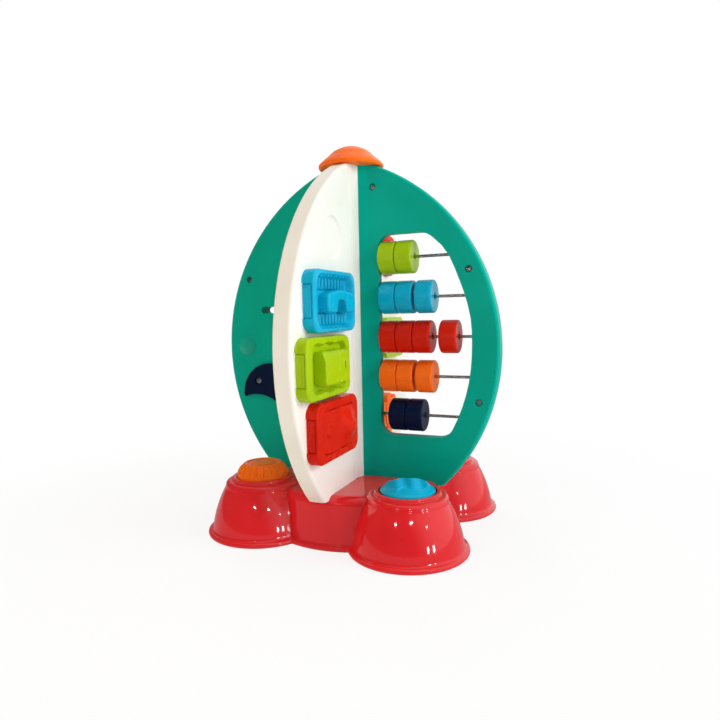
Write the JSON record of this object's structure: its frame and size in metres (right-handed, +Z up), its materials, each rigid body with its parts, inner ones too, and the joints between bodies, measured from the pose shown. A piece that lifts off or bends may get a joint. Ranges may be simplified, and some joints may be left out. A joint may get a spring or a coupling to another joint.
{
  "type": "busy board",
  "caption": "Free-standing toddler busy board: upright fins in a cross with bead abacus, turning, sliding and rocking activities, on a bell-footed base with push buttons.",
  "frame": {"origin": "on the axis of the cross of fins, at the floor", "axes": "+Z up, front fin along -Y, abacus fin along +X"},
  "size_m": [0.3, 0.3, 0.382],
  "materials": {
    "teal_gloss": "glossy moulded teal plastic",
    "white_gloss": "glossy moulded white plastic",
    "red_gloss": "high-gloss moulded red plastic",
    "blue_gloss": "glossy moulded blue plastic",
    "lime_gloss": "glossy moulded lime plastic",
    "orange_gloss": "glossy moulded orange plastic",
    "orange_clear": "translucent orange plastic",
    "navy_gloss": "glossy moulded navy plastic",
    "steel": "drawn steel wire and plated screws",
    "grey_matte": "pale grey matte plastic",
    "cell": "dark plain cell sleeve",
    "board_green": "green board",
    "black_matte": "black matte plastic"
  },
  "bodies": {
    "root": {"base_shell": "red_gloss", "base_plate": "grey_matte", "base_screws": "steel", "fin_foot_screws": "steel", "battery_cover": "grey_matte", "batteries": "cell", "circuit_board": "board_green", "speaker": "black_matte", "button_switches": "black_matte", "spring_front": "steel", "spring_left": "steel", "spring_right": "steel", "spring_back": "steel", "right_fin_front": "teal_gloss", "right_fin_back": "teal_gloss", "left_fin_front": "teal_gloss", "left_fin_back": "teal_gloss", "front_fin_right": "white_gloss", "front_fin_left": "white_gloss", "back_fin_right": "white_gloss", "back_fin_left": "white_gloss", "fin_screws": "steel", "rod_lime": "steel", "rod_blue": "steel", "rod_red": "steel", "rod_orange": "steel", "rod_navy": "steel", "blue_plate": "blue_gloss", "lime_plate": "lime_gloss", "red_plate": "red_gloss", "rocker_pin": "steel", "pivot_screws": "steel", "nose_cap": "orange_gloss"},
    "button_front": {"button_front": "blue_gloss"},
    "button_left": {"button_left": "orange_clear"},
    "button_right": {"button_right": "lime_gloss"},
    "button_back": {"button_back": "navy_gloss"},
    "bead_lime_1": {"bead_lime_1": "lime_gloss"},
    "bead_lime_2": {"bead_lime_2": "lime_gloss"},
    "bead_blue_1": {"bead_blue_1": "blue_gloss"},
    "bead_blue_2": {"bead_blue_2": "blue_gloss"},
    "bead_blue_3": {"bead_blue_3": "blue_gloss"},
    "bead_red_1": {"bead_red_1": "red_gloss"},
    "bead_red_2": {"bead_red_2": "red_gloss"},
    "bead_red_3": {"bead_red_3": "red_gloss"},
    "bead_red_4": {"bead_red_4": "red_gloss"},
    "bead_orange_1": {"bead_orange_1": "orange_gloss"},
    "bead_orange_2": {"bead_orange_2": "orange_gloss"},
    "bead_orange_3": {"bead_orange_3": "orange_gloss"},
    "bead_navy_1": {"bead_navy_1": "navy_gloss"},
    "bead_navy_2": {"bead_navy_2": "navy_gloss"},
    "turn_handle": {"turn_handle": "blue_gloss"},
    "slide_block": {"slide_block": "lime_gloss"},
    "rocker": {"rocker": "red_gloss"},
    "crescent": {"crescent": "navy_gloss"},
    "track_slider": {"track_slider": "lime_gloss"},
    "spinner_disc": {"spinner_disc": "red_gloss"},
    "back_slider": {"back_slider": "lime_gloss"},
    "lobed_dial": {"lobed_dial": "orange_gloss"}
  },
  "joints": [
    {"name": "button_front_press", "type": "slide", "parent": "root", "child": "button_front", "axis": [0, 0, -1], "range_m": [0, 0.004], "stiffness_N_per_m": 300, "springref_m": -0.002, "deforming": ["spring_front"]},
    {"name": "button_left_press", "type": "slide", "parent": "root", "child": "button_left", "axis": [0, 0, -1], "range_m": [0, 0.004], "stiffness_N_per_m": 300, "springref_m": -0.002, "deforming": ["spring_left"]},
    {"name": "button_right_press", "type": "slide", "parent": "root", "child": "button_right", "axis": [0, 0, -1], "range_m": [0, 0.004], "stiffness_N_per_m": 300, "springref_m": -0.002, "deforming": ["spring_right"]},
    {"name": "button_back_press", "type": "slide", "parent": "root", "child": "button_back", "axis": [0, 0, -1], "range_m": [0, 0.004], "stiffness_N_per_m": 300, "springref_m": -0.002, "deforming": ["spring_back"]},
    {"name": "bead_lime_1_slide", "type": "slide", "parent": "root", "child": "bead_lime_1", "axis": [1, 0, 0], "range_m": [0, 0.006]},
    {"name": "bead_lime_2_slide", "type": "slide", "parent": "bead_lime_1", "child": "bead_lime_2", "axis": [1, 0, 0], "range_m": [0, 0.0141]},
    {"name": "bead_blue_1_slide", "type": "slide", "parent": "root", "child": "bead_blue_1", "axis": [1, 0, 0], "range_m": [-0.0005, 0.0036]},
    {"name": "bead_blue_2_slide", "type": "slide", "parent": "bead_blue_1", "child": "bead_blue_2", "axis": [1, 0, 0], "range_m": [0, 0.0036]},
    {"name": "bead_blue_3_slide", "type": "slide", "parent": "bead_blue_2", "child": "bead_blue_3", "axis": [1, 0, 0], "range_m": [-0.0024, 0.0168]},
    {"name": "bead_red_1_slide", "type": "slide", "parent": "root", "child": "bead_red_1", "axis": [1, 0, 0], "range_m": [-0.0005, 0.0011]},
    {"name": "bead_red_2_slide", "type": "slide", "parent": "bead_red_1", "child": "bead_red_2", "axis": [1, 0, 0], "range_m": [0, 0.0011]},
    {"name": "bead_red_3_slide", "type": "slide", "parent": "bead_red_2", "child": "bead_red_3", "axis": [1, 0, 0], "range_m": [0, 0.0011]},
    {"name": "bead_red_4_slide", "type": "slide", "parent": "bead_red_3", "child": "bead_red_4", "axis": [1, 0, 0], "range_m": [-0.0089, 0.0081]},
    {"name": "bead_orange_1_slide", "type": "slide", "parent": "root", "child": "bead_orange_1", "axis": [1, 0, 0], "range_m": [-0.0005, 0.0048]},
    {"name": "bead_orange_2_slide", "type": "slide", "parent": "bead_orange_1", "child": "bead_orange_2", "axis": [1, 0, 0], "range_m": [0, 0.0048]},
    {"name": "bead_orange_3_slide", "type": "slide", "parent": "bead_orange_2", "child": "bead_orange_3", "axis": [1, 0, 0], "range_m": [-0.0024, 0.0226]},
    {"name": "bead_navy_1_slide", "type": "slide", "parent": "root", "child": "bead_navy_1", "axis": [1, 0, 0], "range_m": [-0.007, 0.0079]},
    {"name": "bead_navy_2_slide", "type": "slide", "parent": "bead_navy_1", "child": "bead_navy_2", "axis": [1, 0, 0], "range_m": [0, 0.0186]},
    {"name": "handle_turn", "type": "hinge", "parent": "root", "child": "turn_handle", "pos_m": [0.02, -0.0845, 0.2275], "axis": [1, 0, 0], "range_deg": [-20, 20]},
    {"name": "block_slide", "type": "slide", "parent": "root", "child": "slide_block", "axis": [0, 1, 0], "range_m": [-0.012, 0.006]},
    {"name": "rocker_tilt", "type": "hinge", "parent": "root", "child": "rocker", "pos_m": [0.018, -0.0845, 0.1135], "axis": [0, 0, 1], "range_deg": [0, 12]},
    {"name": "crescent_turn", "type": "hinge", "parent": "root", "child": "crescent", "pos_m": [-0.1115, -0.012, 0.145], "axis": [0, -1, 0], "range_deg": [-20, 20]},
    {"name": "track_slide", "type": "slide", "parent": "root", "child": "track_slider", "axis": [-1, 0, 0], "range_m": [0, 0.05]},
    {"name": "spinner_spin", "type": "hinge", "parent": "root", "child": "spinner_disc", "pos_m": [0.013, 0.07, 0.28], "axis": [1, 0, 0], "continuous": true},
    {"name": "back_slide", "type": "slide", "parent": "root", "child": "back_slider", "axis": [0, 1, 0], "range_m": [-0.01, 0.01]},
    {"name": "dial_spin", "type": "hinge", "parent": "root", "child": "lobed_dial", "pos_m": [0.013, 0.06, 0.103], "axis": [1, 0, 0], "continuous": true}
  ]
}
